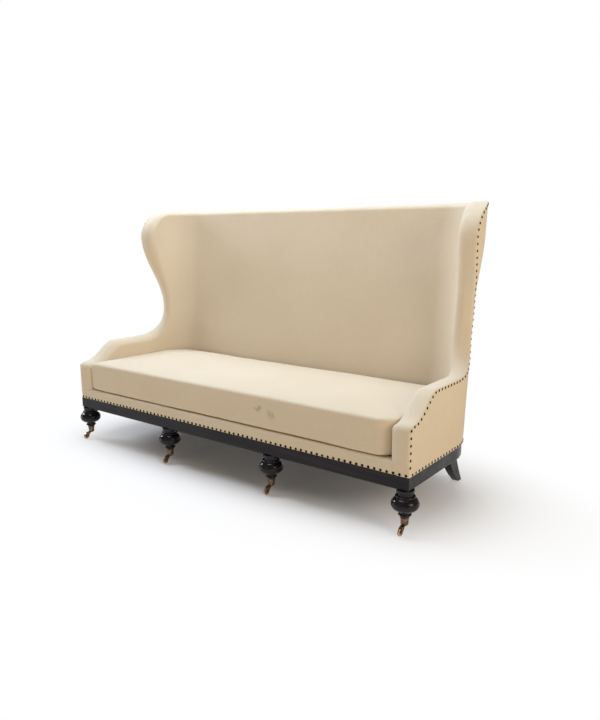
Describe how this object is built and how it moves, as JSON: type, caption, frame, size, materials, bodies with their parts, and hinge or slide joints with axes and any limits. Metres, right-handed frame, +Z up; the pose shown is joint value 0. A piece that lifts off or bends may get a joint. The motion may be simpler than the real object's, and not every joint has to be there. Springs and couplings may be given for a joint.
{
  "type": "high back settee",
  "caption": "High-backed upholstered settee with curved wings, low scrolled arms, loose bench cushion, nailed edges and turned front legs on brass castors.",
  "frame": {"origin": "on the floor, under the middle of the settee as seen from above", "axes": "+X along the seat to the right-hand arm as one faces the settee from the front, +Y from the front to the back, +Z up"},
  "size_m": [2.258, 0.8838, 1.364],
  "materials": {
    "show_wood": "ebonised and polished",
    "beech": "sawn and planed, unfinished",
    "brass": "antique, rubbed bright on the edges",
    "linen": "plain-weave cream linen",
    "hessian": "coarse jute weave",
    "dust_cloth": "black calico",
    "nail_bronze": "dark bronzed dome"
  },
  "bodies": {
    "root": {"rail_front": "show_wood", "rail_side_left": "show_wood", "rail_side_right": "show_wood", "rail_corner_left": "show_wood", "rail_corner_right": "show_wood", "rail_back": "show_wood", "front_leg_1": "show_wood", "front_leg_2": "show_wood", "front_leg_3": "show_wood", "front_leg_4": "show_wood", "rear_leg_left": "show_wood", "rear_leg_right": "show_wood", "castor_cup_1": "brass", "castor_cup_2": "brass", "castor_cup_3": "brass", "castor_cup_4": "brass", "seat_rail_front": "beech", "seat_rail_back": "beech", "seat_rail_left": "beech", "seat_rail_right": "beech", "seat_rail_corners": "beech", "cross_rails": "beech", "corner_blocks": "beech", "back_posts": "beech", "back_top_rail": "beech", "arm_post_left": "beech", "arm_post_right": "beech", "arm_rail_left": "beech", "arm_rail_right": "beech", "wing_post_left": "beech", "wing_post_right": "beech", "wing_top_rail_left": "beech", "wing_top_rail_right": "beech", "webbing": "hessian", "seat_platform": "hessian", "dust_cover": "dust_cloth", "seat_border": "linen", "inside_arm_left": "linen", "inside_arm_right": "linen", "inside_wing_left": "linen", "inside_wing_right": "linen", "inside_back": "linen", "outside_arm_covers": "linen", "outside_wing_left": "linen", "outside_wing_right": "linen", "outside_back": "linen", "nails": "nail_bronze"},
    "castor_swivel_1": {"castor_horn_1": "brass", "castor_axle_1": "brass"},
    "castor_roll_1": {"castor_wheel_1": "brass"},
    "castor_swivel_2": {"castor_horn_2": "brass", "castor_axle_2": "brass"},
    "castor_roll_2": {"castor_wheel_2": "brass"},
    "castor_swivel_3": {"castor_horn_3": "brass", "castor_axle_3": "brass"},
    "castor_roll_3": {"castor_wheel_3": "brass"},
    "castor_swivel_4": {"castor_horn_4": "brass", "castor_axle_4": "brass"},
    "castor_roll_4": {"castor_wheel_4": "brass"},
    "cushion": {"seat_cushion": "linen"}
  },
  "joints": [
    {"name": "castor_swivel_turn_1", "type": "hinge", "parent": "root", "child": "castor_swivel_1", "pos_m": [-1.07, -0.38288, 0.04], "axis": [0, 0, 1], "continuous": true},
    {"name": "castor_wheel_turn_1", "type": "hinge", "parent": "castor_swivel_1", "child": "castor_roll_1", "pos_m": [-1.07, -0.41888, 0.0175], "axis": [1, 0, 0], "continuous": true},
    {"name": "castor_swivel_turn_2", "type": "hinge", "parent": "root", "child": "castor_swivel_2", "pos_m": [-0.35667, -0.38288, 0.04], "axis": [0, 0, 1], "continuous": true},
    {"name": "castor_wheel_turn_2", "type": "hinge", "parent": "castor_swivel_2", "child": "castor_roll_2", "pos_m": [-0.35667, -0.41888, 0.0175], "axis": [1, 0, 0], "continuous": true},
    {"name": "castor_swivel_turn_3", "type": "hinge", "parent": "root", "child": "castor_swivel_3", "pos_m": [0.35667, -0.38288, 0.04], "axis": [0, 0, 1], "continuous": true},
    {"name": "castor_wheel_turn_3", "type": "hinge", "parent": "castor_swivel_3", "child": "castor_roll_3", "pos_m": [0.35667, -0.41888, 0.0175], "axis": [1, 0, 0], "continuous": true},
    {"name": "castor_swivel_turn_4", "type": "hinge", "parent": "root", "child": "castor_swivel_4", "pos_m": [1.07, -0.38288, 0.04], "axis": [0, 0, 1], "continuous": true},
    {"name": "castor_wheel_turn_4", "type": "hinge", "parent": "castor_swivel_4", "child": "castor_roll_4", "pos_m": [1.07, -0.41888, 0.0175], "axis": [1, 0, 0], "continuous": true},
    {"name": "cushion_lift", "type": "slide", "parent": "root", "child": "cushion", "axis": [0, 0, 1], "range_m": [0, 0.3]}
  ]
}
